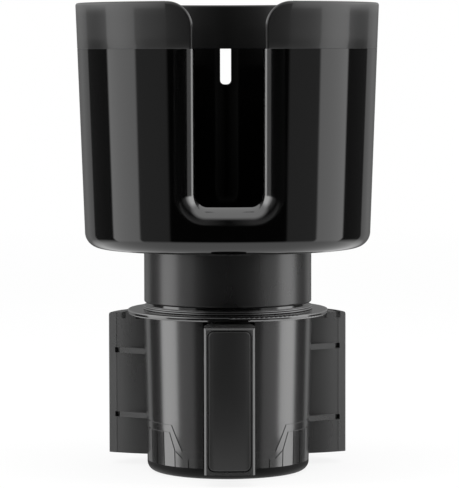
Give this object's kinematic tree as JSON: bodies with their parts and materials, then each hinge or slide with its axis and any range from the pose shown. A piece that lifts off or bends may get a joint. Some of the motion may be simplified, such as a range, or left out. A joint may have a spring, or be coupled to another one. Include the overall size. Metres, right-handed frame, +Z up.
{
  "type": "cup holder expander",
  "caption": "Cup holder expander: a large slotted cup on a turning neck, whose flat scroll slides padded legs in and out of a round base to grip a car's cup holder.",
  "frame": {"origin": "centre of the base's flat underside, on the turning axis", "axes": "+Z up along the turning axis, -Y towards the handle slot and the front leg"},
  "size_m": [0.1136, 0.1117, 0.1757],
  "materials": {
    "gloss_black": "gloss moulded",
    "band_grey": "semi-gloss moulded",
    "satin_black": "satin moulded",
    "scroll_black": "gloss moulded",
    "cover_black": "gloss moulded",
    "leg_grey": "satin moulded",
    "pad_rubber": "matt rubber",
    "mat_rubber": "matt rubber",
    "steel": "zinc plated",
    "washer_white": "nylon"
  },
  "bodies": {
    "base": {"base_housing": "satin_black", "bottom_cover": "cover_black", "cover_screws": "steel", "friction_washer": "washer_white"},
    "cup": {"cup_shell": "gloss_black", "rim_band": "band_grey", "floor_mat": "mat_rubber", "cup_screws": "steel", "neck_sleeve": "satin_black", "neck_screws": "steel", "scroll_disc": "scroll_black", "keeper_washer": "steel", "keeper_screw": "steel"},
    "front_leg": {"leg_front": "leg_grey", "pad_front": "pad_rubber"},
    "right_leg": {"leg_right": "leg_grey", "pad_right": "pad_rubber"},
    "left_leg": {"leg_left": "leg_grey", "pad_left": "pad_rubber"}
  },
  "joints": [
    {"name": "cup_turn", "type": "hinge", "parent": "base", "child": "cup", "pos_m": [0, 0, 0.06], "axis": [0, 0, 1], "range_deg": [0, 1020]},
    {"name": "front_leg_slide", "type": "slide", "parent": "base", "child": "front_leg", "axis": [0, 1, 0], "range_m": [0, 0.017]},
    {"name": "right_leg_slide", "type": "slide", "parent": "base", "child": "right_leg", "axis": [-0.866, -0.5, 0], "range_m": [0, 0.017]},
    {"name": "left_leg_slide", "type": "slide", "parent": "base", "child": "left_leg", "axis": [0.866, -0.5, 0], "range_m": [0, 0.017]}
  ],
  "couplings": [
    {"joint": "front_leg_slide", "follows": "cup_turn", "m_per_rad": 0.00095493},
    {"joint": "right_leg_slide", "follows": "cup_turn", "m_per_rad": 0.00095493},
    {"joint": "left_leg_slide", "follows": "cup_turn", "m_per_rad": 0.00095493}
  ]
}
